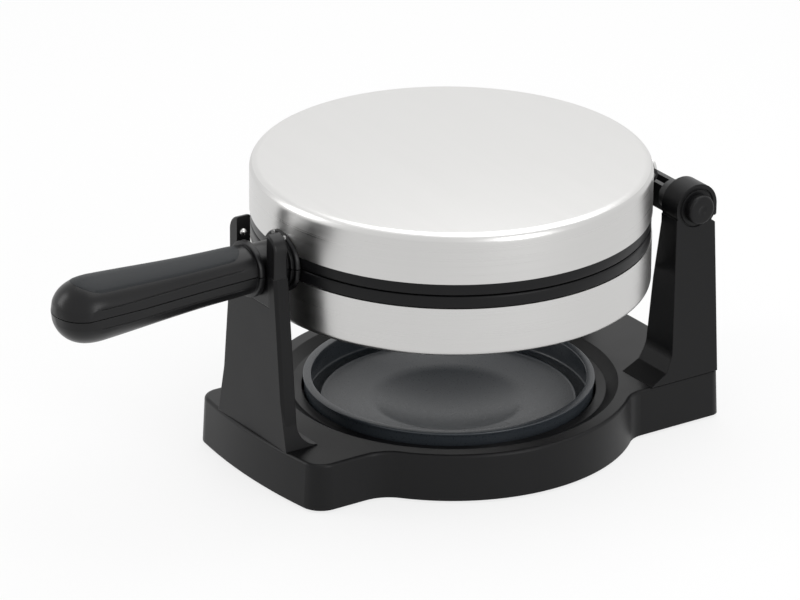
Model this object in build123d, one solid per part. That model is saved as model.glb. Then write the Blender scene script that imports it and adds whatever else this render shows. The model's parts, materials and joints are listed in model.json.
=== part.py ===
from build123d import *
import math
import os

# Rotating waffle maker on a free-standing base, in millimetres.
# The origin is on the floor, below the middle of the round cooking head.
# +Z is up, -Y is the side of the long handle and +Y is the rear hinge.
# The head rests level, with its seam plane on the axis that it turns over about.

# Driving dimensions
SEAM_Z = 124.0          # height of the seam plane and of the turning axis
HEAD_R = 110.0          # outside radius of the steel shells
HALF_H = 35.0           # height of one half of the head
SHEET = 0.9             # thickness of the steel shells
RIM_H = 6.9             # visible height of each black rim beside the seam
RIM_R = 109.5           # outside radius of the black rims
GRID_R = 93.0           # radius of the cast grids
POCKET_PITCH = 17.0     # distance between two pockets of the waffle
LUG_H = 9.0             # height of the lugs that press the pockets

BASE_TOP = 27.7         # top face of the base
BASE_LOW = 1.4          # lower edge of the base, a foot's height off the floor
BULGE_R = 102.0         # round middle of the base
FRONT_W = 59.0          # half width of the front block
FRONT_Y = -130.5        # front end wall of the base
REAR_W = 72.0           # half width of the rear block
REAR_Y = 136.0          # rear end wall of the base
BASE_WALL = 2.8

TRAY_R = 80.6           # outside radius of the drip tray's rim
TRAY_RIM_Z = 30.8
SWING_R = 116.3         # ball that the turning head needs free, with its gap
WELL_R = 81.3           # well in the base that the tray drops into
SHELF_Z = 15.2          # shelf in the well that carries the tray

UPRIGHT_Y = -129.0      # front face of the front upright
UPRIGHT_T = 8.4
NECK_R = 12.7           # round neck that turns in the cradle
CRADLE_R = 13.2         # flats of the trough that the neck lies in
SLOT_X = 17.0           # slot in the upright that holds the cradle
SLOT_Z = -17.5
COLLAR_R = 15.6         # ring on the handle in front of the cradle
EAR_TOP = 24.0          # top of the cradle's ears above the turning axis
EAR_IN = 14.6
EAR_OUT = 22.6
BALL_R = 2.2
BALL_Y = -125.1
BALL_Z = 14.6

PIVOT_Y = 113.5         # axis that the head tilts about, along X
PIVOT_Z = 5.0           # above the seam plane
PIVOT_R = 4.0
BOSS_R = 14.5
POST_IN = 57.8
POST_OUT = 72.0

LID_Y = 115.0           # hinge of the lid, along X
LID_Z = 8.5             # above the seam plane
LID_PIN_R = 2.0
KNUCKLE_R = 4.2

SHAFT_R = 4.5           # rear shaft that the head turns over on
YOKE_Y0 = 119.8
YOKE_Y1 = 131.4

NECK_Y0 = -113.4         # neck between the round cover and the collar
NECK_Y1 = -130.1
GRIP_Y = -133.5          # root of the grip
HANDLE_Y1 = -251.0
SPLIT = 0.25            # half of the gap between the two handle halves


def at_seam(part):
    """Lift a part that was drawn about the seam plane to its real height."""
    return Pos(0, 0, SEAM_Z) * part


def half(part, side):
    """Seat a part drawn for the upper half on the upper or the lower half."""
    if side < 0:
        part = mirror(part, about=Plane.XY)
    return at_seam(part)


def ring(points):
    """Turn a closed outline of radius and height points about the Z axis."""
    outline = make_face(Plane.XZ * Polyline(*points, close=True))
    return revolve(outline, Axis.Z)


def rod_x(radius, x0, x1, y=0.0, z=0.0):
    """Cylinder along X between two places."""
    length = abs(x1 - x0)
    return Pos((x0 + x1) / 2, y, z) * Rot(0, 90, 0) * Cylinder(radius, length)


def rod_y(radius, y0, y1, x=0.0, z=0.0):
    """Cylinder along Y between two places."""
    length = abs(y1 - y0)
    return Pos(x, (y0 + y1) / 2, z) * Rot(90, 0, 0) * Cylinder(radius, length)


def rod_z(radius, z0, z1, x=0.0, y=0.0):
    """Cylinder along Z between two heights."""
    return Pos(x, y, (z0 + z1) / 2) * Cylinder(radius, abs(z1 - z0))


def block(x0, x1, y0, y1, z0, z1):
    """Box between two corners."""
    middle = Pos((x0 + x1) / 2, (y0 + y1) / 2, (z0 + z1) / 2)
    return middle * Box(abs(x1 - x0), abs(y1 - y0), abs(z1 - z0))


def both_sides(part):
    """The part and its mirror image across the middle plane."""
    return part + mirror(part, about=Plane.YZ)


# Base

BASE_BOSSES = [(40, -106), (-40, -106), (60, 92), (-60, 92), (30, 124), (-30, 124)]
TOWER_SCREWS = [(20, -123.6), (-20, -123.6), (62, 108), (-62, 108), (62, 123), (-62, 123)]
FEET = [(0, 0), (36, -117.5), (-36, -117.5), (55, 121), (-55, 121)]


def base_outline(grow=0.0):
    """Plan of the base: a round middle between a narrow and a wide block."""
    bow_r = 340.0
    front = Pos(0, FRONT_Y + 35) * Rectangle(2 * FRONT_W, 70)
    front = front & (Pos(0, FRONT_Y + bow_r) * Circle(bow_r))
    rear = Pos(0, REAR_Y - 40) * Rectangle(2 * REAR_W, 80)
    rear = rear & (Pos(0, REAR_Y - 2 * bow_r) * Circle(2 * bow_r))
    plan = front + Circle(BULGE_R) + rear
    front_corners = [v for v in plan.vertices() if v.Y < -105 and abs(v.X) > 30]
    plan = fillet(front_corners, 11)
    rear_corners = [v for v in plan.vertices() if v.Y > 105 and abs(v.X) > 30]
    plan = fillet(rear_corners, 5)
    front_waist = [v for v in plan.vertices() if -100 < v.Y < -70]
    plan = fillet(front_waist, 24)
    rear_waist = [v for v in plan.vertices() if 60 < v.Y < 90]
    plan = fillet(rear_waist, 16)
    if grow:
        plan = offset(plan, amount=grow, kind=Kind.ARC)
    return plan


def base_housing():
    """Moulded base: drafted outer wall, sunk ring and stepped well for the tray."""
    height = BASE_TOP - BASE_LOW
    foot = Pos(0, 0, BASE_LOW) * base_outline(1.2)
    brow = Pos(0, 0, BASE_TOP) * base_outline()
    body = loft([foot, brow], ruled=True)
    top = body.faces().sort_by(Axis.Z)[-1]
    body = fillet(top.outer_wire().edges(), 1.8)
    inside = Pos(0, 0, BASE_LOW) * extrude(base_outline(-BASE_WALL), height - BASE_WALL)
    well = ring([(0, 4.2), (50, 4.2), (50, 13.2), (84, 13.2), (84, 21.2),
                 (96, 21.2), (96, 40), (0, 40)])
    body = body - (inside - well)
    body -= ring([(0, 6.0), (47.5, 6.0), (47.5, SHELF_Z), (WELL_R, SHELF_Z), (WELL_R, 23.9),
                  (87.0, 23.9), (93.5, BASE_TOP), (93.5, 40), (0, 40)])
    for x, y in BASE_BOSSES:
        body += rod_z(4.2, BASE_LOW + 2.0, BASE_TOP - 1.5, x, y)
    for x, y in BASE_BOSSES:
        body -= rod_z(1.5, 0, 16, x, y)
    for x, y in TOWER_SCREWS:
        body -= rod_z(1.8, 20, 40, x, y)
    return body


def base_bottom_plate():
    """Cover that closes the base from below."""
    plate = Pos(0, 0, BASE_LOW) * extrude(base_outline(-BASE_WALL - 0.2), 2.0)
    for x, y in BASE_BOSSES:
        plate -= rod_z(1.5, 0, 6, x, y)
        plate -= rod_z(2.9, 0, BASE_LOW + 1.2, x, y)
    for x, y in FEET:
        plate -= rod_z(3.0, 0, 6, x, y)
    return plate


def rubber_feet():
    """Soft feet at the corners and in the middle, with stems pressed into the bottom plate."""
    feet = Part()
    for x, y in FEET:
        pad = rod_z(9, 0, BASE_LOW, x, y)
        pad = fillet(pad.edges().sort_by(Axis.Z)[0], 0.4)
        feet += pad + rod_z(3.0, BASE_LOW, BASE_LOW + 2.8, x, y)
    return feet


def pan_screw(x, y, z, length, radius, head_r):
    """Screw that points up, with the underside of its head at height z."""
    return rod_z(radius, z, z + length, x, y) + rod_z(head_r, z - 1.1, z, x, y)


def base_screws():
    """Screws that hold the bottom plate."""
    screws = Part()
    for x, y in BASE_BOSSES:
        screws += pan_screw(x, y, BASE_LOW + 1.2, 12, 1.5, 2.8)
    return screws


def tower_screws():
    """Screws from inside the base into the upright and the rear posts."""
    screws = Part()
    for x, y in TOWER_SCREWS:
        screws += pan_screw(x, y, BASE_TOP - BASE_WALL, 13, 1.8, 3.2)
    return screws


# Front upright and cradle


def front_upright():
    """Tapered post with a slot for the cradle and a flared foot."""
    foot = BASE_TOP - SEAM_Z
    back = UPRIGHT_Y + UPRIGHT_T
    edge = [(34, foot), (31, foot + 14), (26, -33), (EAR_OUT, 0)]
    outline = edge + [(-x, z) for x, z in reversed(edge)]
    face = make_face(Plane.XZ * Polyline(*outline, close=True))
    post = Pos(0, back, 0) * extrude(face, UPRIGHT_T)
    flare = Pos(0, back + 11.5, 0) * extrude(face, 12)
    flare &= block(-40, 40, back - 1, back + 11.5, foot, foot + 12)
    post += flare - rod_x(13, -50, 50, back + 13, foot + 13.4)
    front = post.faces().sort_by(Axis.Y)[0]
    long_edges = [e for e in front.edges() if e.length > 40 and abs(e.center().X) > 5]
    post = chamfer(long_edges, 1.6)
    post -= block(-SLOT_X, SLOT_X, -140, -100, SLOT_Z, 10)
    post = at_seam(post)
    for x, y in TOWER_SCREWS[:2]:
        post -= rod_z(1.8, 20, BASE_TOP + 10.2, x, y)
    return post


def cradle():
    """Slippery U with a faceted trough and two ears, seated in the slot of the upright."""
    back = UPRIGHT_Y + UPRIGHT_T
    saddle = block(-SLOT_X, SLOT_X, UPRIGHT_Y, back, SLOT_Z, 2)
    shape = Pos(0, EAR_TOP / 2) * Rectangle(2 * EAR_OUT, EAR_TOP)
    shape = fillet(shape.vertices().group_by(Axis.Y)[-1], 9)
    ears = Pos(0, back, 0) * extrude(Plane.XZ * shape, UPRIGHT_T)
    ears -= block(-EAR_IN, EAR_IN, -140, -100, 6.4, 40)
    body = saddle + ears
    tips = [e for e in body.edges().filter_by(GeomType.CIRCLE) if e.center().Z > 8]
    body = fillet(tips, 1.2)
    flat = CRADLE_R * math.tan(math.radians(22.5))
    edge = [(flat, -CRADLE_R), (CRADLE_R, -flat), (CRADLE_R, 5.0), (EAR_IN, 6.4), (EAR_IN, 40)]
    trough = make_face(Plane.XZ * Polyline(*edge, *[(-x, z) for x, z in reversed(edge)], close=True))
    body -= Pos(0, -100, 0) * extrude(trough, 40)
    for side in (-1, 1):
        body -= rod_x(BALL_R + 0.05, side * 10, side * 21.2, BALL_Y, BALL_Z)
    return at_seam(body)


def detent_ball(side):
    """Steel ball of the catch, which stands out of its ear beside the neck."""
    middle = side * (NECK_R + 0.35 + BALL_R)
    return at_seam(Pos(middle, BALL_Y, BALL_Z) * Sphere(BALL_R))


def detent_spring(side):
    """Short coil that presses the ball outwards."""
    coil = Helix(pitch=0.9, height=1.8, radius=1.4)
    section = Plane(origin=coil @ 0, z_dir=coil % 0) * RegularPolygon(0.25, 4)
    spring = sweep(section, path=coil)
    start = NECK_R + 0.35 + 2 * BALL_R - 0.25
    spring = Pos(start, BALL_Y, BALL_Z) * Rot(0, 90, 0) * spring
    if side < 0:
        spring = mirror(spring, about=Plane.YZ)
    return at_seam(spring)


# Rear posts and their pivots


def rear_post(side):
    """Post with a round boss, a tapered inner face and a swept foot."""
    foot = BASE_TOP - SEAM_Z
    lines = Polyline((100.2, 0), (99.6, foot + 16), (96.0, foot + 6), (86, foot), (131.0, foot),
                     (126.2, -6), (113.5, 4), close=True)
    profile = make_face(lines)
    corner = [v for v in profile.vertices() if abs(v.X - 99.6) < 0.01]
    profile = fillet(corner, 14)
    profile = profile + Pos(PIVOT_Y, PIVOT_Z) * Circle(BOSS_R - 1.0)
    step = Pos(125.5, 2.5) * Rectangle(3.0, 9.0)
    profile = profile + fillet(step.vertices(), 1.2)
    side_view = extrude(Plane.YZ * profile, 80)
    front_view = Polyline((POST_OUT, foot), (POST_OUT, 25), (POST_IN, 25), (POST_IN, -5),
                          (52, -40), (47, -85), (44.5, foot), close=True)
    slab = Pos(0, 150, 0) * extrude(Plane.XZ * make_face(front_view), 80)
    post = side_view & slab
    post -= rod_x(PIVOT_R, 50, 70, PIVOT_Y, PIVOT_Z)
    post -= rod_x(3.0, 60, 80, PIVOT_Y, PIVOT_Z)
    groove = rod_x(11.2, 71.2, 73, PIVOT_Y, PIVOT_Z) - rod_x(10.2, 71, 74, PIVOT_Y, PIVOT_Z)
    post = post - groove
    post = at_seam(post)
    for x, y in TOWER_SCREWS[2:]:
        if x > 0:
            post -= rod_z(1.8, 20, BASE_TOP + 10.2, x, y)
    return post if side > 0 else mirror(post, about=Plane.YZ)


def pivot_cap(side):
    """Round cap over the end of the pivot pin, dimpled in the middle."""
    cap = rod_x(8.3, POST_OUT, 77.4, PIVOT_Y, PIVOT_Z)
    cap = fillet(cap.edges().sort_by(Axis.X)[-1], 1.4)
    cap -= Pos(81.0, PIVOT_Y, PIVOT_Z) * Sphere(4.2)
    cap += rod_x(3.0, 70.2, POST_OUT + 0.5, PIVOT_Y, PIVOT_Z)
    cap = at_seam(cap)
    return cap if side > 0 else mirror(cap, about=Plane.YZ)


def pivot_pins():
    """Steel pins on which the yoke tilts, fixed in the posts."""
    pin = rod_x(PIVOT_R, 48.5, 70, PIVOT_Y, PIVOT_Z)
    return at_seam(both_sides(chamfer(pin.edges().sort_by(Axis.X)[0], 0.5)))


# Drip tray


def drip_tray():
    """Thin round tray, dished so that the turning head passes over it."""
    edge = SEAM_Z - math.sqrt(SWING_R ** 2 - 45 ** 2)
    tray = ring([(45, edge), (69, edge), (70.5, edge + 1.0), (72, edge), (78.2, edge),
                 (78.2, TRAY_RIM_Z - 1.5), (76, TRAY_RIM_Z - 1.5), (76, TRAY_RIM_Z),
                 (TRAY_R, TRAY_RIM_Z), (TRAY_R, TRAY_RIM_Z - 1.5), (79.8, TRAY_RIM_Z - 1.5),
                 (79.8, SHELF_Z), (45, SHELF_Z)])
    dish = rod_z(45, 2, 20) & at_seam(Sphere(SWING_R + 1.5) - Sphere(SWING_R))
    return tray + dish


# Rear yoke, shaft and hinge


def rear_yoke():
    """Cast bail between the posts with a bearing for the turning shaft."""
    plan = Polyline((0, YOKE_Y0), (43, YOKE_Y0), (48, 114), (53, 114), (53, 123),
                    (45, YOKE_Y1), (0, YOKE_Y1), close=True)
    plan = make_face(plan)
    plan = plan + mirror(plan, about=Plane.YZ)
    bend = [v for v in plan.vertices() if v.Y > 119 and abs(v.X) > 40]
    plan = fillet(bend, 3)
    bar = Pos(0, 0, -12) * extrude(plan, 14.6)
    bar -= block(-38, -13, YOKE_Y0 + 3, YOKE_Y1 - 3, -8, 10)
    bar -= block(13, 38, YOKE_Y0 + 3, YOKE_Y1 - 3, -8, 10)
    bar += both_sides(rod_x(8.5, 48, 57.2, PIVOT_Y, PIVOT_Z))
    bar += rod_y(9.0, YOKE_Y0, YOKE_Y1)
    bar -= rod_y(SHAFT_R + 2.0, 100, 140)
    bar -= rod_x(PIVOT_R + 0.05, -60, -40, PIVOT_Y, PIVOT_Z)
    bar -= rod_x(PIVOT_R + 0.05, 40, 60, PIVOT_Y, PIVOT_Z)
    return at_seam(bar)


def bearing_bush():
    """Bronze bush in which the shaft turns."""
    bush = rod_y(SHAFT_R + 2.0, YOKE_Y0, YOKE_Y1) - rod_y(SHAFT_R + 0.05, 100, 140)
    return at_seam(bush)


def turning_shaft():
    """Hollow shaft at the rear of the head, with a head that keeps it in."""
    shaft = rod_y(SHAFT_R, 112.6, 134.0)
    shaft += rod_y(7.4, YOKE_Y1 + 0.5, 134.0)
    shaft -= rod_y(2.2, 110, 140)
    return at_seam(shaft)


def hinge_bracket():
    """Casting on the lower shell: curved plate, shaft seat and two knuckles."""
    plate = rod_z(HEAD_R + 2.5, -28, -8) & block(-30, 30, 90, 125, -28, -8)
    lump = block(-19.5, 19.5, 100, 118.6, -13, LID_Z - 3)
    lump -= block(-9, 9, 100, 140, 6.2, 40)
    lump += rod_x(KNUCKLE_R, -19.5, 19.5, LID_Y, LID_Z) - block(-9, 9, 100, 140, 6.2, 40)
    body = plate + lump
    body -= rod_z(HEAD_R, -60, 60)
    body -= rod_y(SHAFT_R, 112.6, 140)
    body -= rod_x(LID_PIN_R, -30, 30, LID_Y, LID_Z)
    for x, z in BRACKET_SCREWS:
        body -= rod_y(1.7, 100, 125, x, z)
    return at_seam(body)


BRACKET_SCREWS = [(-24, -18), (24, -18), (-12, -21), (12, -21)]
LEAF_SCREWS = [(-24, 19), (24, 19), (-10, 21), (10, 21)]


def lid_hinge_leaf():
    """Leaf on the upper shell, with a knuckle outside each bracket knuckle."""
    plate = rod_z(HEAD_R + 2.0, 5, 27) & block(-30, 30, 90, 125, 5, 27)
    plate -= block(-19.9, 19.9, 90, 125, 0, 14.6)
    leaf = plate
    for side in (-1, 1):
        leaf += block(side * 20, side * 28, 104, LID_Y, LID_Z - 3.5, LID_Z + KNUCKLE_R)
        leaf += rod_x(KNUCKLE_R, side * 20, side * 28, LID_Y, LID_Z)
    leaf -= rod_z(HEAD_R, -60, 60)
    leaf -= rod_x(LID_PIN_R + 0.05, -40, 40, LID_Y, LID_Z)
    for x, z in LEAF_SCREWS:
        leaf -= rod_y(1.7, 100, 125, x, z)
    return at_seam(leaf)


def lid_hinge_pin():
    """Steel pin of the lid's hinge, held in the bracket."""
    pin = rod_x(LID_PIN_R, -28.6, -9, LID_Y, LID_Z) + rod_x(LID_PIN_R, 9, 28.6, LID_Y, LID_Z)
    return at_seam(pin)


def wall_screws(places, outside):
    """Screws through the rear wall of a shell, heads outside."""
    screws = Part()
    for x, z in places:
        wall = math.sqrt(outside ** 2 - (abs(x) - 3) ** 2)
        screws += rod_y(1.7, wall - 8, wall, x, z) + rod_y(3.0, wall, wall + 1.4, x, z)
    return at_seam(screws)


# Cooking head: both halves are drawn as the upper one


def steel_shell(side, edge_r, low):
    """Drawn steel shell with a rounded edge, open towards the seam."""
    low_in = HEAD_R - SHEET
    face = make_face(Polyline((0, HALF_H), (HEAD_R, HALF_H), (HEAD_R, low), (low_in, low),
                              (low_in, HALF_H - SHEET), (0, HALF_H - SHEET), close=True))
    corner = [v for v in face.vertices() if abs(v.X - HEAD_R) < 0.01 and v.Y > 30]
    face = fillet(corner, edge_r)
    corner = [v for v in face.vertices() if abs(v.X - low_in) < 0.01 and v.Y > 30]
    face = fillet(corner, edge_r - SHEET)
    shell = revolve(Plane.XZ * face, Axis.Z)
    shell -= block(-5.7, 5.7, -115, -100, 8.6, 11.0)
    for x in (-5, 5):
        shell -= rod_y(1.6, -115, -100, x, 14.5)
    places = LEAF_SCREWS if side > 0 else [(x, -z) for x, z in BRACKET_SCREWS]
    for x, z in places:
        shell -= rod_y(1.7, 95, 115, x, z)
    return half(shell, side)


def black_rim(side):
    """Moulded rim between shell and grid, with a spigot inside the shell."""
    low = SPLIT
    rim = ring([(93.6, low), (RIM_R, low), (RIM_R, RIM_H), (108.9, RIM_H), (108.9, 12.0),
                (106.4, 12.0), (106.4, 3.4), (93.6, 3.4)])
    edge = [e for e in rim.edges() if abs(e.center().Z - low) < 0.01 and e.radius > 100]
    rim = fillet(edge, 0.8)
    rim -= block(-5.7, 5.7, -115, -100, 8.6, 20.0)
    return half(rim, side)


def waffle_grid(side):
    """Cast plate: pocket lugs, a cross that divides four waffles, bosses."""
    floor = SPLIT + 1.2 + LUG_H
    plate = ring([(0, floor), (88.5, floor), (90.5, SPLIT), (GRID_R, SPLIT), (GRID_R, 3.4),
                  (99.5, 3.4), (99.5, 5.8), (GRID_R, 5.8), (GRID_R, floor + 3.5),
                  (66, floor + 3.5), (66, floor + 6.5), (50, floor + 6.5), (50, floor + 3.5),
                  (0, floor + 3.5)])
    lug = loft([Pos(0, 0, floor) * Rectangle(10.4, 10.4), Pos(0, 0, floor - LUG_H) * Rectangle(7, 7)])
    lugs = []
    for i in range(5):
        for j in range(5):
            x = 3.5 + POCKET_PITCH * (i + 0.5)
            y = 3.5 + POCKET_PITCH * (j + 0.5)
            if math.hypot(x + 5.2, y + 5.2) < 88.0:
                for sx in (-1, 1):
                    for sy in (-1, 1):
                        lugs.append(Pos(sx * x, sy * y, 0) * lug)
    rib = Polyline((-2.6, floor + 1), (2.6, floor + 1), (1.2, SPLIT), (-1.2, SPLIT), close=True)
    rib = Pos(0, 89.5, 0) * extrude(Plane.XZ * make_face(rib), 179)
    plate = plate + lugs + rib + Rot(0, 0, 90) * rib
    plate -= Pos(0, 0, floor + 6.5) * Torus(58, 3.3)
    for x, y in GRID_BOSSES:
        plate += rod_z(4.5, floor + 3, 24, x, y)
        plate -= rod_z(1.6, floor + 4, 30, x, y)
    return half(plate, side)


GRID_BOSSES = [(56, 56), (-56, 56), (-56, -56), (56, -56)]


def heating_element(side):
    """Tubular heater laid in the groove of the grid, with two cold ends."""
    level = SPLIT + 1.2 + LUG_H + 6.5
    loop = Rot(0, 0, 102) * Torus(58, 3.25, major_angle=336)
    ends = Part()
    for turn in (90 + 12, 90 - 12):
        x = 58 * math.cos(math.radians(turn))
        y = 58 * math.sin(math.radians(turn))
        ends += rod_z(3.25, level, level + 7.0, x, y) + Pos(x, y, level) * Sphere(3.25)
        ends += rod_z(1.0, level + 7.0, level + 14.0, x, y)
    return half(Pos(0, 0, level) * loop + ends, side)


def heat_shield(side):
    """Thin reflector behind the heater, on the bosses of the grid."""
    shield = ring([(0, 26.6), (96, 26.6), (96, 21.5), (96.6, 21.5), (96.6, 27.2), (0, 27.2)])
    for x, y in GRID_BOSSES:
        shield += rod_z(6.5, 24.0, 27.2, x, y)
        shield -= rod_z(5.6, 24.6, 30, x, y)
        shield -= rod_z(1.6, 20, 30, x, y)
    for turn in (102, 78):
        x = 58 * math.cos(math.radians(turn))
        y = 58 * math.sin(math.radians(turn))
        shield -= rod_z(3.8, 20, 30, x, y)
    return half(shield, side)


def shield_screws(side):
    """Screws through the dimples of the reflector into the grid."""
    screws = Part()
    for x, y in GRID_BOSSES:
        screws += rod_z(1.6, 16.5, 24.6, x, y) + rod_z(3.0, 24.6, 26.4, x, y)
    return half(screws, side)


def thermostat(side):
    """Round bimetal switch pressed on the back of the grid."""
    low = SPLIT + 1.2 + LUG_H + 3.5
    body = rod_z(9, low, low + 6, 0, 26) + rod_z(7.5, low + 6, low + 8.5, 0, 26)
    body += block(-5.2, -4.4, 23, 29, low + 8, low + 12) + block(4.4, 5.2, 23, 29, low + 8, low + 12)
    return half(body, side)


# Handle


def grip_solid(inset):
    """Grip form, swollen towards its domed end, pulled in by a skin's depth."""
    y_end = HANDLE_Y1 + inset
    lines = Polyline((0, y_end), (0, GRIP_Y), (13.4 - inset, GRIP_Y))
    shoulder = (13.2 - inset * 0.7, -244.6 + inset)
    swell = Spline((13.4 - inset, GRIP_Y), (15.0 - inset, -180), (18 - inset, -228), shoulder, (0, y_end),
                   tangents=((0.05, -1), (-1, 0)))
    return revolve(make_face(lines + swell), Axis.Y)


def inlay_plan(grow):
    """Tapered slot with round ends, seen from above."""
    near = Pos(0, -148) * Circle(9.4 + grow)
    far = Pos(0, -228) * Circle(12.6 + grow)
    side = Polyline((9.4 + grow, -148), (12.6 + grow, -228), (-12.6 - grow, -228), (-9.4 - grow, -148),
                    close=True)
    return near + far + make_face(side)


def upper_part(body):
    """Keeps what is above the split, without the slot for the steel strap."""
    body &= block(-30, 30, -260, -100, SPLIT, 30)
    return body - block(-5.5, 5.5, -155, -100, 8.8, 10.8)


def escutcheon(side):
    """Half of the round cover between the handle and the shell."""
    edge = Polyline((0, NECK_Y0), (0, -104), (17, -104), (17, -111.0), (16.4, -111.6), (14.7, -111.6),
                    (14.7, -113.0), (14.3, NECK_Y0), close=True)
    body = upper_part(revolve(make_face(edge), Axis.Y))
    body -= rod_z(HEAD_R + 0.1, -5, 40)
    for x in (-5, 5):
        body -= rod_y(1.6, -112.4, -100, x, 14.5)
    return half(body, side)


def neck_sleeve(side):
    """Half of the round neck that turns in the cradle."""
    return half(upper_part(rod_y(NECK_R, NECK_Y1, NECK_Y0)), side)


def handle_half(side):
    """Half of the grip with the collar at its root."""
    root = Polyline((0, GRIP_Y), (0, NECK_Y1), (15.0, NECK_Y1), (COLLAR_R, NECK_Y1 - 0.6),
                    (COLLAR_R, GRIP_Y + 0.6), (15.0, GRIP_Y), close=True)
    body = revolve(make_face(root), Axis.Y) + grip_solid(0)
    body = upper_part(body) & block(-16.5, 16.5, -260, -100, 0, 30)
    cave = grip_solid(3.4) & block(-30, 30, -260, -156, -30, 30)
    body -= cave
    body += block(-2, 2, -243, -158, SPLIT + 1, 9)
    body += rod_z(3.6, SPLIT, 13.0, 0, -176) + rod_z(3.6, SPLIT, 15.6, 0, -226)
    if side > 0:
        body -= extrude(inlay_plan(0), 30) & (grip_solid(-1) - grip_solid(1.3))
    return half(body, side)


def grip_inlay():
    """Soft insert set into the top of the handle."""
    skin = grip_solid(-0.2) - grip_solid(1.3)
    return at_seam(extrude(inlay_plan(-0.15), 30) & skin)


def handle_strap(side):
    """Steel strip through the neck, with a tab inside the head."""
    strip = block(-5.5, 5.5, -155, -104.3, 8.8, 10.8)
    tab = block(-8, 8, -106.3, -104.3, 12.2, 21.0) + block(-5.5, 5.5, -106.3, -104.3, 8.8, 12.4)
    strap = strip + tab
    for x in (-5, 5):
        strap -= rod_y(1.6, -110, -100, x, 14.5)
    strap -= rod_z(1.6, 0, 20, 0, -150)
    return half(strap, side)


def handle_screws(side):
    """Screws from inside the head through the tab into the flange."""
    screws = Part()
    for x in (-5, 5):
        screws += rod_y(1.6, -112.2, -104.3, x, 14.5) + rod_y(2.4, -104.3, -102.6, x, 14.5)
    return half(screws, side)


def all_pieces():
    """Every piece under its own name."""
    return {
        "base_housing": base_housing(),
        "base_bottom_plate": base_bottom_plate(),
        "rubber_feet": rubber_feet(),
        "base_screws": base_screws(),
        "tower_screws": tower_screws(),
        "front_upright": front_upright(),
        "cradle": cradle(),
        "detent_ball_left": detent_ball(-1),
        "detent_ball_right": detent_ball(1),
        "detent_spring_left": detent_spring(-1),
        "detent_spring_right": detent_spring(1),
        "rear_post_left": rear_post(-1),
        "rear_post_right": rear_post(1),
        "pivot_cap_left": pivot_cap(-1),
        "pivot_cap_right": pivot_cap(1),
        "pivot_pins": pivot_pins(),
        "drip_tray": drip_tray(),
        "rear_yoke": rear_yoke(),
        "bearing_bush": bearing_bush(),
        "turning_shaft": turning_shaft(),
        "hinge_bracket": hinge_bracket(),
        "bracket_screws": wall_screws(BRACKET_SCREWS, HEAD_R + 2.5),
        "lid_hinge_leaf": lid_hinge_leaf(),
        "leaf_screws": wall_screws(LEAF_SCREWS, HEAD_R + 2.0),
        "lid_hinge_pin": lid_hinge_pin(),
        "upper_shell": steel_shell(1, 5.0, RIM_H),
        "lower_shell": steel_shell(-1, 3.6, RIM_H + 0.3),
        "upper_rim": black_rim(1),
        "lower_rim": black_rim(-1),
        "upper_grid": waffle_grid(1),
        "lower_grid": waffle_grid(-1),
        "upper_heating_element": heating_element(1),
        "lower_heating_element": heating_element(-1),
        "upper_heat_shield": heat_shield(1),
        "lower_heat_shield": heat_shield(-1),
        "upper_shield_screws": shield_screws(1),
        "lower_shield_screws": shield_screws(-1),
        "upper_thermostat": thermostat(1),
        "lower_thermostat": thermostat(-1),
        "upper_escutcheon": escutcheon(1),
        "lower_escutcheon": escutcheon(-1),
        "upper_neck_sleeve": neck_sleeve(1),
        "lower_neck_sleeve": neck_sleeve(-1),
        "handle_upper_half": handle_half(1),
        "handle_lower_half": handle_half(-1),
        "grip_inlay": grip_inlay(),
        "upper_handle_strap": handle_strap(1),
        "lower_handle_strap": handle_strap(-1),
        "upper_handle_screws": handle_screws(1),
        "lower_handle_screws": handle_screws(-1),
    }


os.makedirs("parts", exist_ok=True)
for name, piece in all_pieces().items():
    export_step(piece, "parts/" + name + ".step")
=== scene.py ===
import json
import math

import bmesh
import bpy
from bpy.props import FloatProperty, FloatVectorProperty, PointerProperty
from mathutils import Matrix, Vector


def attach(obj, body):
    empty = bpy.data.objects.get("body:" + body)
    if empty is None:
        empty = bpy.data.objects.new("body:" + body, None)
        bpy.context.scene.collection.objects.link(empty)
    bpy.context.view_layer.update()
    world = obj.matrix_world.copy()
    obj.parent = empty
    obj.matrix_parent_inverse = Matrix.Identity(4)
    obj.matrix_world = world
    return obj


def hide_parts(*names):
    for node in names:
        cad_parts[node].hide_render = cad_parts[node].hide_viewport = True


bl_info = {
    "name": "Rotating waffle maker",
    "version": (1, 0, 0),
    "blender": (4, 5, 0),
    "location": "View3D > Sidebar > Waffle maker",
    "description": "Dresses the packed waffle maker with smooth pieces, finishes and a studio",
    "category": "Object",
}

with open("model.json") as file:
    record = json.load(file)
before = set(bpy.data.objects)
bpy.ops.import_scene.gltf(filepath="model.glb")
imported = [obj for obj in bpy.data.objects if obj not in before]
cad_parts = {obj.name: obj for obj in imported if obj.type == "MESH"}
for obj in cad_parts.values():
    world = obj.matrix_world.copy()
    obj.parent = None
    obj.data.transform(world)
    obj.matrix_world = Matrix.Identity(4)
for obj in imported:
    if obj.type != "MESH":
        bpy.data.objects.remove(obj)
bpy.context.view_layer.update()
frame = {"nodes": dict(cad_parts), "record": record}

# Sizes in metres that the pieces share

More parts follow.
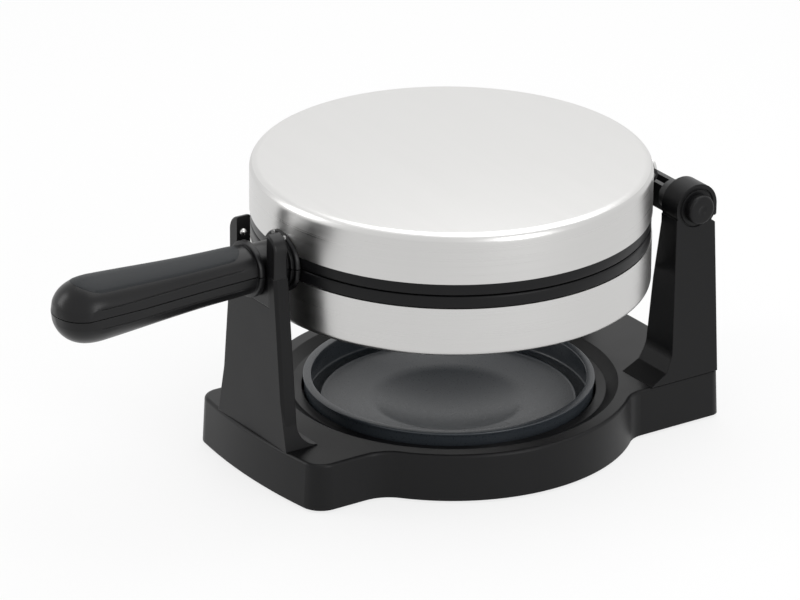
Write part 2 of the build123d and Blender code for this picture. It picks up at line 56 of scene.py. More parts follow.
SEAM = 0.124                # height of the seam between the halves, where the turning axis lies
SPLIT = 0.00025             # half of the gap between the halves
SHEET = 0.0009              # thickness of the steel shells
RIM_LIP = 0.0034            # ledge of the rims that carries the grids
GRID_R = 0.093              # outside radius of the grids
GRID_WALL = 0.0035          # thickness of a grid's floor
LUG_ROOT = 0.0052           # half width of a lug at its foot
LUG_TIP = 0.0035            # half width of a lug at its tip
CROSS_GAP = 0.0035          # from the middle of the grid to its first row of pockets
SWING_R = 0.1163            # ball that the turning head needs free
DISH_R = 0.045              # radius of the dished middle of the tray
TRAY_WALL = 0.0015
TRAY_RIM = 0.0308           # height of the tray's rim
TRAY_SHELF = 0.0152         # height of the ledge that the tray stands on
SHELL_R = 0.11012           # the handle's cover follows the shell at this radius
NECK_R = 0.0127             # round neck that turns in the cradle
GRIP_START = 0.1335         # places along the handle, measured from the middle of the head
GRIP_SWELL = 0.146
GRIP_TIP = 0.228
TIP_LENGTH = 0.023
TIP_R = 0.018               # largest radius of the grip
INLAY_NEAR = (-0.148, 0.00925)   # centre and radius of each round end of the soft insert
INLAY_FAR = (-0.228, 0.01245)
PIVOT = (0.1135, 0.005)     # the tilting axis: distance behind the middle, height above the seam


def settings():
    return bpy.context.scene.waffle_sizes


def finishes():
    return bpy.context.scene.waffle_finishes


# Finishes


def new_finish(name, colour, roughness, metallic=0.0):
    """A material with its plain values on the shader's own sockets."""
    mat = bpy.data.materials.new(name)
    mat.use_nodes = True
    shader = mat.node_tree.nodes["Principled BSDF"]
    shader.inputs["Base Color"].default_value = (*colour, 1.0)
    shader.inputs["Roughness"].default_value = roughness
    shader.inputs["Metallic"].default_value = metallic
    return mat, mat.node_tree.nodes, mat.node_tree.links, shader


def object_noise(nodes, links, stretch, scale, detail=3.0, rotation=(0, 0, 0)):
    """Noise on Object coordinates, stretched along an axis."""
    coords = nodes.new("ShaderNodeTexCoord")
    mapping = nodes.new("ShaderNodeMapping")
    mapping.inputs["Scale"].default_value = stretch
    mapping.inputs["Rotation"].default_value = rotation
    noise = nodes.new("ShaderNodeTexNoise")
    noise.inputs["Scale"].default_value = scale
    noise.inputs["Detail"].default_value = detail
    links.new(coords.outputs["Object"], mapping.inputs["Vector"])
    links.new(mapping.outputs["Vector"], noise.inputs["Vector"])
    return noise


def spread(nodes, links, source, low, high):
    """Maps a noise of about 0.3 to 0.7 onto a small band of values."""
    band = nodes.new("ShaderNodeMapRange")
    band.inputs["From Min"].default_value = 0.3
    band.inputs["From Max"].default_value = 0.7
    band.inputs["To Min"].default_value = low
    band.inputs["To Max"].default_value = high
    links.new(source, band.inputs["Value"])
    return band.outputs["Result"]


def tint(nodes, links, source, dark, light):
    """Colour between two close tones, by a noise."""
    mix = nodes.new("ShaderNodeMix")
    mix.data_type = "RGBA"
    mix.inputs["A"].default_value = (*dark, 1.0)
    mix.inputs["B"].default_value = (*light, 1.0)
    links.new(source, mix.inputs["Factor"])
    return mix.outputs["Result"]


def moulded_plastic(name, colour, roughness, grain=0.05, edge=0.0008, gloss=0.2):
    """Black moulding: fine grain, slight gloss change, softened edges."""
    mat, nodes, links, shader = new_finish(name, colour, roughness)
    shader.inputs["Specular IOR Level"].default_value = gloss
    fine = object_noise(nodes, links, (1, 1, 1), 2600.0, 2.0)
    broad = object_noise(nodes, links, (1, 1, 1), 26.0, 4.0)
    links.new(spread(nodes, links, broad.outputs["Fac"], roughness - 0.03, roughness + 0.05),
              shader.inputs["Roughness"])
    darker = [c * 0.9 for c in colour]
    lighter = [c * 1.12 for c in colour]
    links.new(tint(nodes, links, broad.outputs["Fac"], darker, lighter), shader.inputs["Base Color"])
    soft = nodes.new("ShaderNodeBevel")
    soft.samples = 4
    soft.inputs["Radius"].default_value = edge
    bump = nodes.new("ShaderNodeBump")
    bump.inputs["Strength"].default_value = grain
    bump.inputs["Distance"].default_value = 0.0002
    links.new(fine.outputs["Fac"], bump.inputs["Height"])
    links.new(soft.outputs["Normal"], bump.inputs["Normal"])
    links.new(bump.outputs["Normal"], shader.inputs["Normal"])
    return mat


def brushed_metal(name, colour, roughness, stretch, depth=0.05, contrast=1.0):
    """Steel with fine lines along the long direction of the stretch."""
    mat, nodes, links, shader = new_finish(name, colour, roughness, 1.0)
    lines = object_noise(nodes, links, stretch, 1.0, 6.0)
    low, high = roughness - 0.05 * contrast, roughness + 0.08 * contrast
    dull = spread(nodes, links, lines.outputs["Fac"], low, high)
    links.new(dull, shader.inputs["Roughness"])
    darker = [c * (1 - 0.07 * contrast) for c in colour]
    lighter = [min(c * (1 + 0.05 * contrast), 1.0) for c in colour]
    links.new(tint(nodes, links, lines.outputs["Fac"], darker, lighter), shader.inputs["Base Color"])
    bump = nodes.new("ShaderNodeBump")
    bump.inputs["Strength"].default_value = depth
    bump.inputs["Distance"].default_value = 0.0002
    links.new(lines.outputs["Fac"], bump.inputs["Height"])
    links.new(bump.outputs["Normal"], shader.inputs["Normal"])
    return mat


def speckled(name, colour, roughness, metallic=0.0, scale=900.0, depth=0.1, gloss=0.5):
    """Cast, coated or rubbery surface with a small even texture."""
    mat, nodes, links, shader = new_finish(name, colour, roughness, metallic)
    shader.inputs["Specular IOR Level"].default_value = gloss
    spots = object_noise(nodes, links, (1, 1, 1), scale, 3.0)
    links.new(spread(nodes, links, spots.outputs["Fac"], roughness - 0.04, roughness + 0.06),
              shader.inputs["Roughness"])
    darker = [c * 0.88 for c in colour]
    lighter = [min(c * 1.12, 1.0) for c in colour]
    links.new(tint(nodes, links, spots.outputs["Fac"], darker, lighter), shader.inputs["Base Color"])
    bump = nodes.new("ShaderNodeBump")
    bump.inputs["Strength"].default_value = depth
    bump.inputs["Distance"].default_value = 0.0003
    links.new(spots.outputs["Fac"], bump.inputs["Height"])
    links.new(bump.outputs["Normal"], shader.inputs["Normal"])
    return mat


_made = {}


def finish_for(slot):
    """The finish of a material slot, made once."""
    if slot in _made:
        return _made[slot]
    f = finishes()
    black = tuple(f.black_plastic)
    steel = tuple(f.steel)
    makers = {
        "black_plastic": lambda: moulded_plastic("satin black moulding", black, 0.36),
        "cradle_plastic": lambda: moulded_plastic("slippery black nylon", black, 0.3, gloss=0.28),
        "handle_plastic": lambda: moulded_plastic("handle moulding", black, 0.3, 0.04, 0.0006, 0.28),
        "soft_grip": lambda: speckled("soft grip", tuple(f.grip), 0.5, 0.0, 2200.0, 0.12, 0.22),
        # The top and the side use two copies of one steel. The side copy is painted darker (0.86 against
        # 0.97) as painted shade for the darker reflections along the side.
        "steel_top": lambda: brushed_metal("brushed lid top", [c * 0.97 for c in steel], f.steel_roughness,
                                           (10, 2600, 10), 0.03, 0.5),
        "steel_side_painted_shade": lambda: brushed_metal("brushed shell side painted darker", [c * 0.86 for c in steel],
                                            f.steel_roughness, (6, 6, 2600), 0.04, 0.7),
        "tray_enamel": lambda: speckled("tray coating", tuple(f.tray), 0.30, 0.0, 1200.0, 0.05),
        "grid_coating": lambda: speckled("non-stick coating", (0.035, 0.035, 0.037), 0.42, 0.3, 700.0, 0.2),
        "yoke_metal": lambda: speckled("coated casting", (0.02, 0.02, 0.021), 0.4, 0.0, 500.0, 0.2),
        "zinc_steel": lambda: brushed_metal("bright steel", (0.62, 0.62, 0.61), 0.25, (900, 900, 40)),
        "screw_steel": lambda: brushed_metal("screw steel", (0.5, 0.5, 0.5), 0.32, (900, 900, 900)),
        "bronze": lambda: speckled("sintered bronze", (0.5, 0.33, 0.16), 0.4, 1.0, 1500.0, 0.15),
        "heater_sheath": lambda: speckled("heater sheath", (0.25, 0.23, 0.21), 0.45, 1.0, 400.0, 0.1),
        "shield_sheet": lambda: brushed_metal("bright sheet", (0.75, 0.75, 0.75), 0.3, (20, 1200, 20)),
        "switch_body": lambda: speckled("pale ceramic", (0.7, 0.67, 0.6), 0.5, 0.0, 600.0, 0.1),
        "foot_rubber": lambda: speckled("foot rubber", (0.02, 0.02, 0.02), 0.75, 0.0, 800.0, 0.3),
    }
    _made[slot] = makers[slot]()
    return _made[slot]


# Mesh helpers; every size is in metres and height is above the seam plane


def place(mesh_name, verts, faces, slot_name, body, stands_for, finish=None, smooth=35.0):
    """Makes the piece, smooth but for its sharp edges, and fixes it to its body."""
    mesh = bpy.data.meshes.new(mesh_name)
    mesh.from_pydata(verts, [], faces)
    shape = bmesh.new()
    shape.from_mesh(mesh)
    bmesh.ops.remove_doubles(shape, verts=shape.verts, dist=1e-6)
    bmesh.ops.recalc_face_normals(shape, faces=shape.faces)
    for face in shape.faces:
        face.smooth = True
    for edge in shape.edges:
        edge.smooth = not edge.is_manifold or edge.calc_face_angle(0.0) < math.radians(smooth)
    shape.to_mesh(mesh)
    shape.free()
    piece = bpy.data.objects.new(mesh_name, mesh)
    bpy.context.scene.collection.objects.link(piece)
    mesh.materials.append(finish_for(finish or slot_name))
    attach(piece, body)
    if stands_for:
        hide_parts(*stands_for)
    return piece


def rounded(points, radii, steps=6):
    """Outline with the corners named in radii turned into arcs."""
    out = []
    count = len(points)
    for i, point in enumerate(points):
        r = radii.get(i, 0.0)
        if r <= 0:
            out.append(point)
            continue
        here = Vector(point)
        back = (Vector(points[i - 1]) - here).normalized()
        ahead = (Vector(points[(i + 1) % count]) - here).normalized()
        angle = back.angle(ahead)
        reach = r / math.tan(angle / 2)
        middle = here + (back + ahead).normalized() * (r / math.sin(angle / 2))
        start = here + back * reach - middle
        end = here + ahead * reach - middle
        turn = start.angle_signed(end)
        for k in range(steps + 1):
            a = -turn * k / steps
            c, s = math.cos(a), math.sin(a)
            out.append((middle.x + start.x * c - start.y * s, middle.y + start.x * s + start.y * c))
    return out


def turned(points, segments, up=SEAM):
    """Closed outline of radius and height turned about Z."""
    verts, faces = [], []
    n = len(points)
    for k in range(segments):
        a = 2 * math.pi * k / segments
        for r, h in points:
            verts.append((r * math.cos(a), r * math.sin(a), up + h))
    for k in range(segments):
        for i in range(n):
            j = (i + 1) % n
            a, b = k * n, ((k + 1) % segments) * n
            quad = [a + i, b + i, b + j, a + j]
            r_i, r_j = points[i][0], points[j][0]
            if r_i < 1e-7 and r_j < 1e-7:
                continue
            if r_i < 1e-7:
                quad = [a + i, b + j, a + j]
            elif r_j < 1e-7:
                quad = [a + i, b + i, a + j]
            faces.append(quad)
    return verts, faces


def flipped(verts):
    """The same shape on the other side of the seam plane."""
    return [(x, y, 2 * SEAM - z) for x, y, z in verts]


# Cooking head


def shell_half(body, name, side, edge, low):
    """Drawn steel shell with a rounded edge, brushed straight on top and round the side; the side is
    painted darker than the top as painted shade.
    """
    r, h, t = settings().head_radius, settings().half_height, SHEET
    outline = [(0, h), (r, h), (r, low), (r - t, low), (r - t, h - t), (0, h - t)]
    outline = rounded(outline, {1: edge, 4: edge - t}, 10)
    verts, faces = turned(outline, 256)
    if side < 0:
        verts = flipped(verts)
    piece = place(name + "_skin", verts, faces, "steel_skin", body, [name], "steel_side_painted_shade")
    piece.data.materials.append(finish_for("steel_top"))
    # Faces that point up or down take the top copy; all other faces keep the side copy with its painted
    # shade.
    for face in piece.data.polygons:
        if abs(face.normal.z) > 0.75:
            face.material_index = 1
    return piece


class WAFFLE_OT_shells(bpy.types.Operator):
    """Adds the two brushed steel shells"""

    bl_idname = "waffle.shells"
    bl_label = "Steel shells"

    def execute(self, context):
        shell_half("lid", "upper_shell", 1, 0.005, 0.0069)
        shell_half("head", "lower_shell", -1, 0.0036, 0.0072)
        return {"FINISHED"}


class WAFFLE_OT_rims(bpy.types.Operator):
    """Adds the black rims on each side of the seam"""

    bl_idname = "waffle.rims"
    bl_label = "Black rims"

    def execute(self, context):
        inner, outer, inset = 0.0936, 0.1095, 0.0069
        outline = [(inner, SPLIT), (outer, SPLIT), (outer, inset), (0.1089, inset), (0.1089, 0.012),
                   (0.1064, 0.012), (0.1064, RIM_LIP), (inner, RIM_LIP)]
        outline = rounded(outline, {0: 0.0004, 1: 0.0011, 2: 0.0002}, 5)
        verts, faces = turned(outline, 256)
        place("upper_rim_ring", verts, faces, "black_plastic", "lid", ["upper_rim"])
        place("lower_rim_ring", flipped(verts), faces, "black_plastic", "head", ["lower_rim"])
        return {"FINISHED"}


def lug_nodes():
    """Geometry Nodes tree that sets a tapered four-sided lug on each point."""
    tree = bpy.data.node_groups.new("pocket lugs", "GeometryNodeTree")
    face = tree.interface
    face.new_socket("Geometry", in_out="INPUT", socket_type="NodeSocketGeometry")
    sizes = {}
    for label, value in (("Root", LUG_ROOT), ("Tip", LUG_TIP), ("Height", 0.009)):
        sizes[label] = face.new_socket(label, in_out="INPUT", socket_type="NodeSocketFloat")
        sizes[label].default_value = value
    face.new_socket("Coating", in_out="INPUT", socket_type="NodeSocketMaterial")
    face.new_socket("Geometry", in_out="OUTPUT", socket_type="NodeSocketGeometry")
    nodes, links = tree.nodes, tree.links
    entry, leave = nodes.new("NodeGroupInput"), nodes.new("NodeGroupOutput")
    points = nodes.new("GeometryNodeMeshToPoints")
    cone = nodes.new("GeometryNodeMeshCone")
    cone.inputs["Vertices"].default_value = 4
    turn = nodes.new("GeometryNodeTransform")
    turn.inputs["Rotation"].default_value = (0, 0, math.radians(45))
    put = nodes.new("GeometryNodeInstanceOnPoints")
    real = nodes.new("GeometryNodeRealizeInstances")
    coat = nodes.new("GeometryNodeSetMaterial")
    grow = []
    for _ in range(2):
        times = nodes.new("ShaderNodeMath")
        times.operation = "MULTIPLY"
        times.inputs[1].default_value = math.sqrt(2)
        grow.append(times)
    links.new(entry.outputs["Root"], grow[0].inputs[0])
    links.new(entry.outputs["Tip"], grow[1].inputs[0])
    links.new(grow[0].outputs[0], cone.inputs["Radius Top"])
    links.new(grow[1].outputs[0], cone.inputs["Radius Bottom"])
    links.new(entry.outputs["Height"], cone.inputs["Depth"])
    links.new(cone.outputs["Mesh"], turn.inputs["Geometry"])
    links.new(entry.outputs["Geometry"], points.inputs["Mesh"])
    links.new(points.outputs["Points"], put.inputs["Points"])
    links.new(turn.outputs["Geometry"], put.inputs["Instance"])
    links.new(put.outputs["Instances"], real.inputs["Geometry"])
    links.new(real.outputs["Geometry"], coat.inputs["Geometry"])
    links.new(entry.outputs["Coating"], coat.inputs["Material"])
    links.new(coat.outputs["Geometry"], leave.inputs["Geometry"])
    return tree


def grown_mesh(name, centres, tree, values):
    """Runs a Geometry Nodes tree on bare points and returns the plain mesh."""
    seed = bpy.data.meshes.new(name + "_points")
    seed.from_pydata(centres, [], [])
    holder = bpy.data.objects.new(name + "_points", seed)
    bpy.context.scene.collection.objects.link(holder)
    modifier = holder.modifiers.new("repeat", "NODES")
    modifier.node_group = tree
    for item in tree.interface.items_tree:
        if item.item_type == "SOCKET" and item.in_out == "INPUT" and item.name in values:
            modifier[item.identifier] = values[item.name]
    graph = bpy.context.evaluated_depsgraph_get()
    mesh = bpy.data.meshes.new_from_object(holder.evaluated_get(graph))
    holder.modifiers.remove(modifier)
    bpy.data.objects.remove(holder)
    return mesh


def grid_half(body, name, side):
    """Cast grid: dished plate, dividing cross and the lugs that press the pockets."""
    pitch, lug = settings().pocket_pitch, settings().lug_height
    floor = SPLIT + 0.0012 + lug
    back, seat = floor + GRID_WALL, floor + 0.0065
    flange, flange_back = 0.0995, 0.0058
    outline = [(0, floor), (0.0885, floor), (0.0905, SPLIT), (GRID_R, SPLIT), (GRID_R, RIM_LIP),
               (flange, RIM_LIP), (flange, flange_back), (GRID_R, flange_back), (GRID_R, back),
               (0.066, back), (0.066, seat), (0.050, seat), (0.050, back), (0, back)]
    verts, faces = turned(rounded(outline, {1: 0.0012, 2: 0.0006, 3: 0.0004}, 4), 192)
    reach, root, sunk = 0.0893, 0.0026, floor + 0.0008
    ridge = ((-root, sunk), (-0.0012, SPLIT), (0.0012, SPLIT), (root, sunk))
    for turn in (0, 1):
        base = len(verts)
        for y in (-reach, reach):
            for x, z in ridge:
                verts.append((x, y, SEAM + z) if turn == 0 else (y, x, SEAM + z))
        faces += [[base + i, base + (i + 1) % 4, base + 4 + (i + 1) % 4, base + 4 + i] for i in range(4)]
        faces += [[base, base + 1, base + 2, base + 3], [base + 4, base + 5, base + 6, base + 7]]
    centres = []
    for i in range(5):
        for j in range(5):
            x, y = CROSS_GAP + pitch * (i + 0.5), CROSS_GAP + pitch * (j + 0.5)
            if math.hypot(x + LUG_ROOT, y + LUG_ROOT) < 0.088:
                centres += [(sx * x, sy * y, SEAM + floor - lug) for sx in (-1, 1) for sy in (-1, 1)]
    values = {"Height": lug + 0.0006, "Coating": finish_for("grid_coating")}
    lugs = grown_mesh(name, centres, lug_nodes(), values)
    base = len(verts)
    verts += [tuple(v.co) for v in lugs.vertices]
    faces += [[base + i for i in p.vertices] for p in lugs.polygons]
    if side < 0:
        verts = flipped(verts)
    place(name + "_cast", verts, faces, "grid_coating", body, [name], smooth=25.0)


class WAFFLE_OT_grids(bpy.types.Operator):
    """Adds the two cast waffle grids"""

    bl_idname = "waffle.grids"
    bl_label = "Waffle grids"

    def execute(self, context):
        grid_half("lid", "upper_grid", 1)
        grid_half("head", "lower_grid", -1)
        return {"FINISHED"}


class WAFFLE_OT_tray(bpy.types.Operator):
    """Adds the round drip tray"""

    bl_idname = "waffle.tray"
    bl_label = "Drip tray"

    def execute(self, context):
        def dish(r, depth=0.0):
            return SEAM - math.sqrt((SWING_R + depth) ** 2 - r * r)

        edge, lip = dish(DISH_R), TRAY_RIM - 0.0015
        wall_in, wall_out, rim_in, rim_out = 0.0782, 0.0798, 0.076, 0.0806
        inner = [(DISH_R * k / 8, dish(DISH_R * k / 8)) for k in range(8)]
        rest = [(DISH_R, edge), (0.069, edge), (0.0705, edge + 0.001), (0.072, edge), (wall_in, edge),
                (wall_in, lip), (rim_in, lip), (rim_in, TRAY_RIM), (rim_out, TRAY_RIM),
                (rim_out, lip), (wall_out, lip), (wall_out, TRAY_SHELF), (DISH_R, TRAY_SHELF)]
        rest = rounded(rest, {2: 0.0012, 4: 0.0014, 7: 0.0006, 8: 0.0007, 9: 0.0003}, 5)
        outer = [(DISH_R * k / 8, dish(DISH_R * k / 8, TRAY_WALL)) for k in range(7, -1, -1)]
        verts, faces = turned(inner + rest + outer, 192, 0.0)
        place("drip_tray_dish", verts, faces, "tray_enamel", "tray", ["drip_tray"])
        return {"FINISHED"}


# Handle


def grip_radius(y):
    """Radius of the grip at a place along the handle, y being negative."""
    along = -y
    if along < GRIP_SWELL:
        return 0.0134 + (along - 0.130) / 0.016 * 0.0005
    if along < GRIP_TIP:
        t = (along - GRIP_SWELL) / (GRIP_TIP - GRIP_SWELL)
        return 0.0139 + 0.0041 * t - 0.0008 * math.sin(math.pi * t) * (1 - t)
    t = min((along - GRIP_TIP) / TIP_LENGTH, 1.0)
    return TIP_R * (1 - t ** 2.6) ** (1 / 2.2)


def handle_stations():
    """Places along the handle with the radius there, from the head to the tip."""
    cover = [(0.017, -0.108), (0.017, -0.1109), (0.0168, -0.1113), (0.0164, -0.1116), (0.0147, -0.1116),
             (0.0147, -0.1130), (0.0143, -0.1134)]
    neck = [(NECK_R, -0.1134), (NECK_R, -0.1301)]
    collar = [(0.0150, -0.1301), (0.01545, -0.1303), (0.0156, -0.1307), (0.0156, -0.1329),
              (0.01545, -0.1333), (0.0150, -GRIP_START)]
    step = (GRIP_TIP - GRIP_START) / 24
    along = [-GRIP_START - step * k for k in range(25)]
    along += [-GRIP_TIP - TIP_LENGTH * math.sin(k * math.pi / 56) for k in range(1, 28)]
    return cover + neck + collar + [(grip_radius(y), y) for y in along]


def handle_section(r, y):
    """Points of half a section, from one side of the split over the top to the other."""
    groove_height = 0.00545
    flat = 0.0165 if y < -0.128 else 1.0
    grooved = -0.232 < y < -0.142 and r > 0.0080
    depth = 0.00045 if grooved else 0.0
    marks = [(math.asin(min(SPLIT / r, 1.0)), 0.00015, 0.0)]
    for off, cut in ((-0.0004, 0.0), (-0.00025, depth), (0.00025, depth), (0.0004, 0.0)):
        marks.append((math.asin(min((groove_height + off) / r, 0.98)), cut, cut))
    top = marks[-1][0]
    marks += [(top + (math.pi / 2 - top) * k / 14, 0.0, 0.0) for k in range(1, 15)]
    out = [(min((r - sunk) * math.cos(a), flat - cut), (r - sunk) * math.sin(a)) for a, sunk, cut in marks]
    mirrored = [(-x, z) for x, z in reversed(out[:-1])]
    return out + mirrored


def handle_shape():
    """Vertices and faces of the upper half of the handle."""
    verts, faces = [], []
    stations = handle_stations()
    n = 0
    for r, y in stations:
        section = handle_section(max(r, 0.0006), y)
        n = len(section)
        for x, z in section:
            back = -math.sqrt(SHELL_R ** 2 - x * x) if y > -0.1085 else y
            verts.append((x, back, SEAM + z))
    for s in range(len(stations) - 1):
        a, b = s * n, (s + 1) * n
        for i in range(n - 1):
            faces.append([a + i, a + i + 1, b + i + 1, b + i])
        faces.append([a, b, b + n - 1, a + n - 1])
    faces.append(list(range(n)))
    last = (len(stations) - 1) * n
    faces.append([last + i for i in range(n)])
    return verts, faces


def inlay_half_width(y):
    """Half width of the soft insert, round at both ends."""
    (near, near_r), (far, far_r) = INLAY_NEAR, INLAY_FAR
    if y > near:
        return math.sqrt(max(near_r * near_r - (y - near) ** 2, 0.0))
    if y < far:
        return math.sqrt(max(far_r * far_r - (y - far) ** 2, 0.0))
    t = (near - y) / (near - far)
    return near_r + (far_r - near_r) * t


def inlay_shape():
    """Soft insert that stands a little proud of the handle, with rounded edges."""
    (near, near_r), (far, far_r) = INLAY_NEAR, INLAY_FAR
    sunk, proud, edge_proud = -0.0009, 0.00022, 0.0001
    places = [near + near_r * math.cos(k * math.pi / 24) for k in range(12)]
    places += [near + (far - near) * k / 16 for k in range(17)]
    places += [far - far_r * math.sin(k * math.pi / 24) for k in range(1, 13)]
    verts, faces = [], []
    across = 16
    for y in places:
        w = inlay_half_width(y)
        r = grip_radius(y)
        row = [(-w, sunk), (-w, 0.0)]
        row += [(-w + 2 * w * k / across, proud if 0 < k < across else edge_proud)
                for k in range(across + 1)]
        row += [(w, 0.0), (w, sunk)]
        end = 1.0 if w > 0.0015 else 0.3
        for x, up in row:
            z = math.sqrt(max((r + up * (end if up > 0 else 1.0)) ** 2 - x * x, 1e-8))
            verts.append((x, y, SEAM + z))
    n = across + 5
    for s in range(len(places) - 1):
        a, b = s * n, (s + 1) * n
        for i in range(n - 1):
            faces.append([a + i, a + i + 1, b + i + 1, b + i])
        faces.append([a, b, b + n - 1, a + n - 1])
    faces.append(list(range(n)))
    last = (len(places) - 1) * n
    faces.append([last + i for i in range(n)])
    return verts, faces


class WAFFLE_OT_handle(bpy.types.Operator):
    """Adds both halves of the handle and its soft insert"""

    bl_idname = "waffle.handle"
    bl_label = "Handle"

    def execute(self, context):
        verts, faces = handle_shape()
        for body, half_name, made in (("lid", "upper", verts), ("head", "lower", flipped(verts))):
            hidden = ["handle_%s_half" % half_name, half_name + "_escutcheon", half_name + "_neck_sleeve"]
            place("handle_%s_moulding" % half_name, made, faces, "handle_plastic", body, hidden)
        verts, faces = inlay_shape()
        place("grip_insert", verts, faces, "soft_grip", "lid", ["grip_inlay"], smooth=50.0)
        return {"FINISHED"}


# Stand


class WAFFLE_OT_caps(bpy.types.Operator):
    """Adds the round caps over the ends of the pivot pins"""

    bl_idname = "waffle.caps"
    bl_label = "Pivot caps"

    def execute(self, context):
        face, back, end = 0.0774, 0.072, 0.0702
        button_r, stem_r, dimple_r = 0.0083, 0.003, 0.0028
        dimple = [(dimple_r * k / 6, face - 0.0006 * math.cos(math.pi / 2 * k / 6)) for k in range(6)]
        outline = dimple + [(dimple_r, face), (button_r, face), (button_r, back), (stem_r, back),
                            (stem_r, end), (0, end)]
        outline = rounded(outline, {7: 0.0016, 6: 0.0004}, 7)
        verts, faces = turned(outline, 96, 0.0)
        for side, name in ((1, "pivot_cap_right"), (-1, "pivot_cap_left")):
            turned_out = [(side * z, PIVOT[0] + x, SEAM + PIVOT[1] + y) for x, y, z in verts]
            place(name + "_button", turned_out, faces, "black_plastic", "base", [name])
        return {"FINISHED"}


class WAFFLE_OT_coats(bpy.types.Operator):
    """Gives each CAD piece that is shown as it is its own finish"""

    bl_idname = "waffle.coats"
    bl_label = "Finishes of the other pieces"

    def execute(self, context):
        slots = {s["node"]: s["material_slot"] for s in frame["record"]["subparts"]}
        for name, node in frame["nodes"].items():
            slot = slots[name]
            # Steel skin pieces from the model take the side copy of the steel, with its painted shade.
            finish = finish_for("steel_side_painted_shade" if slot == "steel_skin" else slot)
            node.data.materials.clear()
            node.data.materials.append(finish)
        return {"FINISHED"}


# Studio

# Name, place, point aimed at, width, depth and watts of each lamp
LAMPS = (
    ("overhead softbox", (-0.1, 0.35, 1.3), (0, 0, 0.1), 1.5, 1.2, 10.0),
    ("left softbox", (-0.9, -1.2, 0.7), (0, 0, 0.1), 0.5, 1.0, 5.0),
    ("right softbox", (1.4, 0.1, 0.55), (0, 0, 0.1), 0.5, 0.9, 5.0),
)
# The camera that was fitted to the photo: where it stands, and where it sees the middle of the head
CAMERA_AZIMUTH = 55.78      # degrees
CAMERA_ELEVATION = 23.41
CAMERA_ROLL = 0.51
CAMERA_DISTANCE = 3.273     # metres
FOCAL_PX = 6000.0
PICTURE_MIDDLE = (400.0, 300.0)
HEAD_IN_PICTURE = (450.8, 214.1)
SENSOR_MM = 36.0


def seen_directly(nodes, links):
    """1 for what the camera sees, in metal and glass too, and 0 for the light that falls on things."""
    path = nodes.new("ShaderNodeLightPath")
    first = nodes.new("ShaderNodeMath")
    first.operation = "MAXIMUM"
    second = nodes.new("ShaderNodeMath")
    second.operation = "MAXIMUM"
    links.new(path.outputs["Is Camera Ray"], first.inputs[0])
    links.new(path.outputs["Is Glossy Ray"], first.inputs[1])
    links.new(first.outputs["Value"], second.inputs[0])
    links.new(path.outputs["Is Transmission Ray"], second.inputs[1])
    return second.outputs["Value"]


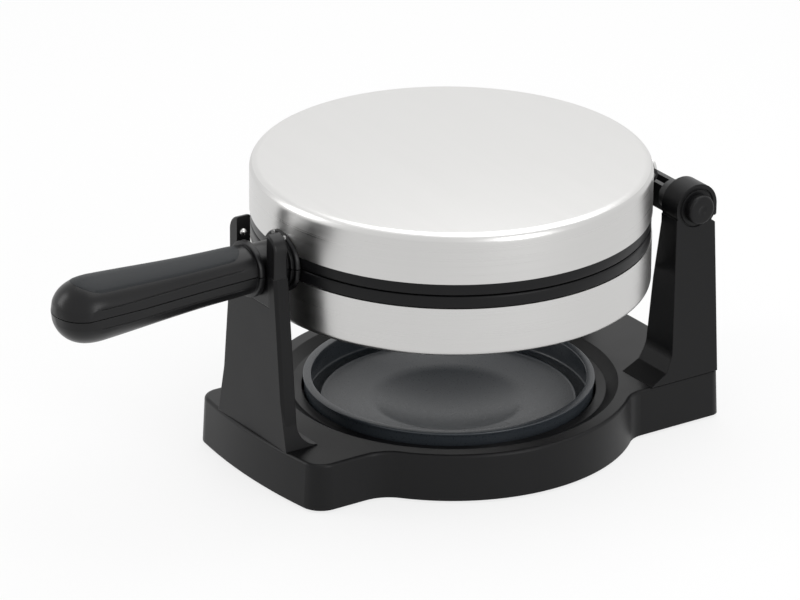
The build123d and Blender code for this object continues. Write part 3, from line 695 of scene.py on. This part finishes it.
class WAFFLE_OT_studio(bpy.types.Operator):
    """Adds the pale floor, the soft lamps and the camera"""

    bl_idname = "waffle.studio"
    bl_label = "Studio"

    def execute(self, context):
        scene = context.scene
        half = 6.0
        floor_mesh = bpy.data.meshes.new("floor")
        floor_mesh.from_pydata([(-half, -half, 0), (half, -half, 0), (half, half, 0), (-half, half, 0)], [],
                               [[0, 1, 2, 3]])
        floor = bpy.data.objects.new("floor", floor_mesh)
        scene.collection.objects.link(floor)
        mat, nodes, links, shader = new_finish("pale floor", (0.93, 0.93, 0.93), 0.9)
        shader.inputs["Specular IOR Level"].default_value = 0.1
        glow = nodes.new("ShaderNodeEmission")
        mix = nodes.new("ShaderNodeMixShader")
        share = nodes.new("ShaderNodeMath")
        share.operation = "MULTIPLY"
        share.inputs[1].default_value = 0.78
        links.new(seen_directly(nodes, links), share.inputs[0])
        links.new(share.outputs["Value"], mix.inputs["Fac"])
        links.new(shader.outputs["BSDF"], mix.inputs[1])
        links.new(glow.outputs["Emission"], mix.inputs[2])
        links.new(mix.outputs["Shader"], nodes["Material Output"].inputs["Surface"])
        floor_mesh.materials.append(mat)

        world = bpy.data.worlds.new("white studio")
        scene.world = world
        world.use_nodes = True
        nodes, links = world.node_tree.nodes, world.node_tree.links
        out = nodes["World Output"]
        plain = nodes["Background"]
        plain.inputs["Color"].default_value = (1, 1, 1, 1)
        plain.inputs["Strength"].default_value = settings().world_light
        white = nodes.new("ShaderNodeBackground")
        white.inputs["Color"].default_value = (1, 1, 1, 1)
        white.inputs["Strength"].default_value = 1.0
        mix = nodes.new("ShaderNodeMixShader")
        links.new(seen_directly(nodes, links), mix.inputs["Fac"])
        links.new(plain.outputs["Background"], mix.inputs[1])
        links.new(white.outputs["Background"], mix.inputs[2])
        links.new(mix.outputs["Shader"], out.inputs["Surface"])

        for name, spot, aim, width, depth, watts in LAMPS:
            lamp = bpy.data.lights.new(name, "AREA")
            lamp.shape = "RECTANGLE"
            lamp.size = width
            lamp.size_y = depth
            lamp.energy = watts
            holder = bpy.data.objects.new(name, lamp)
            scene.collection.objects.link(holder)
            holder.location = spot
            holder.rotation_euler = (Vector(aim) - Vector(spot)).to_track_quat("-Z", "Y").to_euler()

        az, el, roll = (math.radians(v) for v in (CAMERA_AZIMUTH, CAMERA_ELEVATION, CAMERA_ROLL))
        back = Vector((math.sin(az) * math.cos(el), -math.cos(az) * math.cos(el), math.sin(el)))
        level = Vector((math.cos(az), math.sin(az), 0.0))
        plumb = back.cross(level)
        right = level * math.cos(roll) + plumb * math.sin(roll)
        up = plumb * math.cos(roll) - level * math.sin(roll)
        metres_per_px = CAMERA_DISTANCE / FOCAL_PX
        spot = Vector((0, 0, SEAM + 0.0017)) + back * CAMERA_DISTANCE
        spot += right * (PICTURE_MIDDLE[0] - HEAD_IN_PICTURE[0]) * metres_per_px
        spot -= up * (PICTURE_MIDDLE[1] - HEAD_IN_PICTURE[1]) * metres_per_px
        camera = bpy.data.cameras.new("camera")
        camera.sensor_width = SENSOR_MM
        camera.lens = FOCAL_PX * SENSOR_MM / (2 * PICTURE_MIDDLE[0])
        camera.clip_end = 50.0
        holder = bpy.data.objects.new("camera", camera)
        scene.collection.objects.link(holder)
        holder.matrix_world = Matrix.Translation(spot) @ Matrix((right, up, back)).transposed().to_4x4()
        scene.camera = holder
        scene.view_settings.view_transform = "Standard"
        return {"FINISHED"}


# Panel and settings


class WaffleSizes(bpy.types.PropertyGroup):
    """Main sizes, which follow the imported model"""

    head_radius: FloatProperty(name="Head radius", description="Outside radius of the steel shells",
                               default=0.110, unit="LENGTH")
    half_height: FloatProperty(name="Half height", description="Height of one half of the head",
                               default=0.035, unit="LENGTH")
    pocket_pitch: FloatProperty(name="Pocket pitch", description="Distance between two waffle pockets",
                                default=0.017, unit="LENGTH")
    lug_height: FloatProperty(name="Lug height", description="Depth of a waffle pocket", default=0.009,
                              unit="LENGTH")
    world_light: FloatProperty(name="Room light", description="Strength of the even light of the room",
                               default=0.55, min=0.0)


class WaffleFinishes(bpy.types.PropertyGroup):
    """Colours and gloss of the main finishes"""

    black_plastic: FloatVectorProperty(name="Black plastic", description="Colour of the stand and rims",
                                       default=(0.0045, 0.0045, 0.005), subtype="COLOR", size=3)
    grip: FloatVectorProperty(name="Soft grip", description="Colour of the insert in the handle",
                              default=(0.017, 0.019, 0.021), subtype="COLOR", size=3)
    tray: FloatVectorProperty(name="Tray", description="Colour of the drip tray",
                              default=(0.035, 0.042, 0.05), subtype="COLOR", size=3)
    steel: FloatVectorProperty(name="Steel", description="Colour of the brushed shells",
                               default=(0.70, 0.695, 0.685), subtype="COLOR", size=3)
    steel_roughness: FloatProperty(name="Steel roughness", description="Dullness of the brushed shells",
                                   default=0.3, min=0.05, max=1.0)


class WAFFLE_PT_panel(bpy.types.Panel):
    """Lists the pieces of the waffle maker"""

    bl_label = "Waffle maker"
    bl_idname = "WAFFLE_PT_panel"
    bl_space_type = "VIEW_3D"
    bl_region_type = "UI"
    bl_category = "Waffle maker"

    def draw(self, context):
        layout = self.layout
        for group in (settings(), finishes()):
            for key in group.bl_rna.properties.keys():
                if key not in ("rna_type", "name"):
                    layout.prop(group, key)
        for operator in OPERATORS:
            layout.operator(operator.bl_idname)


OPERATORS = (WAFFLE_OT_coats, WAFFLE_OT_shells, WAFFLE_OT_rims, WAFFLE_OT_grids, WAFFLE_OT_tray,
             WAFFLE_OT_handle, WAFFLE_OT_caps, WAFFLE_OT_studio)
CLASSES = (WaffleSizes, WaffleFinishes, *OPERATORS, WAFFLE_PT_panel)


def register():
    for cls in CLASSES:
        bpy.utils.register_class(cls)
    bpy.types.Scene.waffle_sizes = PointerProperty(type=WaffleSizes)
    bpy.types.Scene.waffle_finishes = PointerProperty(type=WaffleFinishes)


def unregister():
    del bpy.types.Scene.waffle_finishes
    del bpy.types.Scene.waffle_sizes
    for cls in reversed(CLASSES):
        bpy.utils.unregister_class(cls)


def main():
    register()
    bpy.ops.waffle.coats()
    bpy.ops.waffle.shells()
    bpy.ops.waffle.rims()
    bpy.ops.waffle.grids()
    bpy.ops.waffle.tray()
    bpy.ops.waffle.handle()
    bpy.ops.waffle.caps()
    bpy.ops.waffle.studio()


if __name__ == "__main__":
    main()
